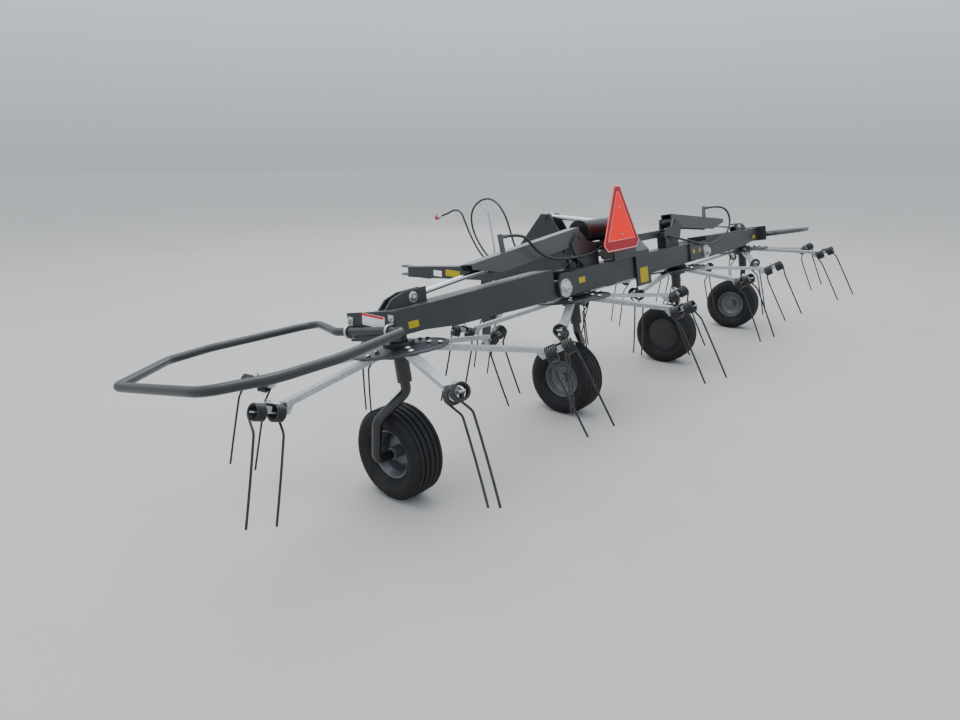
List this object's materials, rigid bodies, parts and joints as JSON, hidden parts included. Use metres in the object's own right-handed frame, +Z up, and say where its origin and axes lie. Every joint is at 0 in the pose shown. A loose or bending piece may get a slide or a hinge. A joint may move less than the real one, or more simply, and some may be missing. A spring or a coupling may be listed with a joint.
{
  "type": "hay tedder",
  "caption": "Trailed rotary hay tedder on small wheels, folding wings, intermeshing tined rotors, guard bows and a drawbar with clevis hitch.",
  "frame": {"origin": "centre of the hitch clevis's pin hole, between its two plates", "axes": "+X across the machine to its right, +Y forward to the tractor, +Z up; the wheels stand 524 mm below the origin"},
  "size_m": [5.8313, 2.9411, 1.2533],
  "materials": {
    "dark_paint": "satin graphite grey paint",
    "channel_paint": "satin mid-grey paint",
    "black_paint": "satin black paint",
    "zinc": "zinc-plated steel",
    "black_wire": "black coated spring wire",
    "rod_chrome": "hard chrome",
    "rim_silver": "silver-grey paint",
    "tyre": "ribbed rubber",
    "tube_plastic": "black moulded plastic",
    "sign_orange": "fluorescent orange-red sheet with dark red edge",
    "hose_rubber": "black hydraulic hose",
    "rope_white": "thin white cord"
  },
  "bodies": {
    "frame": {"centre_beam": "dark_paint", "bridge": "dark_paint", "saddle": "dark_paint", "sign": "sign_orange", "sign_bracket": "black_paint", "document_tube": "tube_plastic", "input_gearbox": "black_paint", "drawbar": "dark_paint", "tower": "dark_paint", "upper_link": "zinc", "hose_post": "zinc", "coupler": "zinc", "supply_hose": "hose_rubber", "feed_hose": "hose_rubber", "pull_rope": "rope_white", "frame_hose_left": "hose_rubber", "frame_hose_right": "hose_rubber", "gearbox_2": "black_paint", "gearbox_3": "black_paint", "wheel_leg_2": "dark_paint", "wheel_leg_3": "dark_paint"},
    "stand": {"stand_leg": "black_paint"},
    "wing_left": {"wing_beam_left": "dark_paint", "guard_left": "dark_paint", "guard_clamps_left": "zinc", "gearbox_1": "black_paint", "wheel_leg_1": "dark_paint"},
    "cylinder_left": {"lock_channel_left": "channel_paint", "cylinder_barrel_left": "black_paint", "hose_left": "hose_rubber"},
    "rod_left": {"cylinder_rod_left": "rod_chrome"},
    "wing_right": {"wing_beam_right": "dark_paint", "guard_right": "dark_paint", "guard_clamps_right": "zinc", "gearbox_4": "black_paint", "wheel_leg_4": "dark_paint"},
    "cylinder_right": {"lock_channel_right": "channel_paint", "cylinder_barrel_right": "black_paint", "hose_right": "hose_rubber"},
    "rod_right": {"cylinder_rod_right": "rod_chrome"},
    "rotor_1": {"rotor_plate_1": "dark_paint", "tine_arms_1": "zinc", "tines_1": "black_wire"},
    "wheel_1": {"rim_1": "rim_silver", "tyre_1": "tyre"},
    "rotor_2": {"rotor_plate_2": "dark_paint", "tine_arms_2": "zinc", "tines_2": "black_wire"},
    "wheel_2": {"rim_2": "rim_silver", "tyre_2": "tyre"},
    "rotor_3": {"rotor_plate_3": "dark_paint", "tine_arms_3": "zinc", "tines_3": "black_wire"},
    "wheel_3": {"rim_3": "rim_silver", "tyre_3": "tyre"},
    "rotor_4": {"rotor_plate_4": "dark_paint", "tine_arms_4": "zinc", "tines_4": "black_wire"},
    "wheel_4": {"rim_4": "rim_silver", "tyre_4": "tyre"}
  },
  "joints": [
    {"name": "rotor_1_spin", "type": "hinge", "parent": "wing_left", "child": "rotor_1", "pos_m": [-1.95, -2.02, 0.15], "axis": [0, 0.1762, 0.9843], "continuous": true},
    {"name": "wheel_1_spin", "type": "hinge", "parent": "wing_left", "child": "wheel_1", "pos_m": [-1.95, -1.997, -0.321], "axis": [1, 0, 0], "continuous": true},
    {"name": "rotor_2_spin", "type": "hinge", "parent": "frame", "child": "rotor_2", "pos_m": [-0.65, -2.02, 0.15], "axis": [0, 0.1762, 0.9843], "continuous": true},
    {"name": "wheel_2_spin", "type": "hinge", "parent": "frame", "child": "wheel_2", "pos_m": [-0.65, -1.997, -0.321], "axis": [1, 0, 0], "continuous": true},
    {"name": "rotor_3_spin", "type": "hinge", "parent": "frame", "child": "rotor_3", "pos_m": [0.65, -2.02, 0.15], "axis": [0, 0.1762, 0.9843], "continuous": true},
    {"name": "wheel_3_spin", "type": "hinge", "parent": "frame", "child": "wheel_3", "pos_m": [0.65, -1.997, -0.321], "axis": [1, 0, 0], "continuous": true},
    {"name": "rotor_4_spin", "type": "hinge", "parent": "wing_right", "child": "rotor_4", "pos_m": [1.95, -2.02, 0.15], "axis": [0, 0.1762, 0.9843], "continuous": true},
    {"name": "wheel_4_spin", "type": "hinge", "parent": "wing_right", "child": "wheel_4", "pos_m": [1.95, -1.997, -0.321], "axis": [1, 0, 0], "continuous": true},
    {"name": "wing_left_fold", "type": "hinge", "parent": "frame", "child": "wing_left", "pos_m": [-0.9, -2.00678, 0.22383], "axis": [0, 0.9843, -0.1762], "range_deg": [0, 90]},
    {"name": "cylinder_left_swing", "type": "hinge", "parent": "frame", "child": "cylinder_left", "pos_m": [-0.6, -1.96449, 0.46007], "axis": [0, 0.9843, -0.1762], "range_deg": [0, 81.07]},
    {"name": "rod_left_slide", "type": "slide", "parent": "cylinder_left", "child": "rod_left", "axis": [-0.9946, -0.0183, -0.1021], "range_m": [-0.5223, 0]},
    {"name": "wing_right_fold", "type": "hinge", "parent": "frame", "child": "wing_right", "pos_m": [0.9, -2.00678, 0.22383], "axis": [0, -0.9843, 0.1762], "range_deg": [0, 90]},
    {"name": "cylinder_right_swing", "type": "hinge", "parent": "frame", "child": "cylinder_right", "pos_m": [0.6, -1.96449, 0.46007], "axis": [0, -0.9843, 0.1762], "range_deg": [0, 81.07]},
    {"name": "rod_right_slide", "type": "slide", "parent": "cylinder_right", "child": "rod_right", "axis": [0.9946, -0.0183, -0.1021], "range_m": [-0.5223, 0]},
    {"name": "stand_slide", "type": "slide", "parent": "frame", "child": "stand", "axis": [0, 0, 1], "range_m": [0, 0.25]}
  ],
  "couplings": [
    {"joint": "cylinder_left_swing", "follows": "wing_left_fold", "ratio": 0.9002},
    {"joint": "rod_left_slide", "follows": "wing_left_fold", "m_per_rad": -0.33217},
    {"joint": "cylinder_right_swing", "follows": "wing_right_fold", "ratio": 0.9002},
    {"joint": "rod_right_slide", "follows": "wing_right_fold", "m_per_rad": -0.33217},
    {"joint": "rotor_2_spin", "follows": "rotor_1_spin", "ratio": -1},
    {"joint": "rotor_3_spin", "follows": "rotor_1_spin", "ratio": 1},
    {"joint": "rotor_4_spin", "follows": "rotor_1_spin", "ratio": -1}
  ]
}
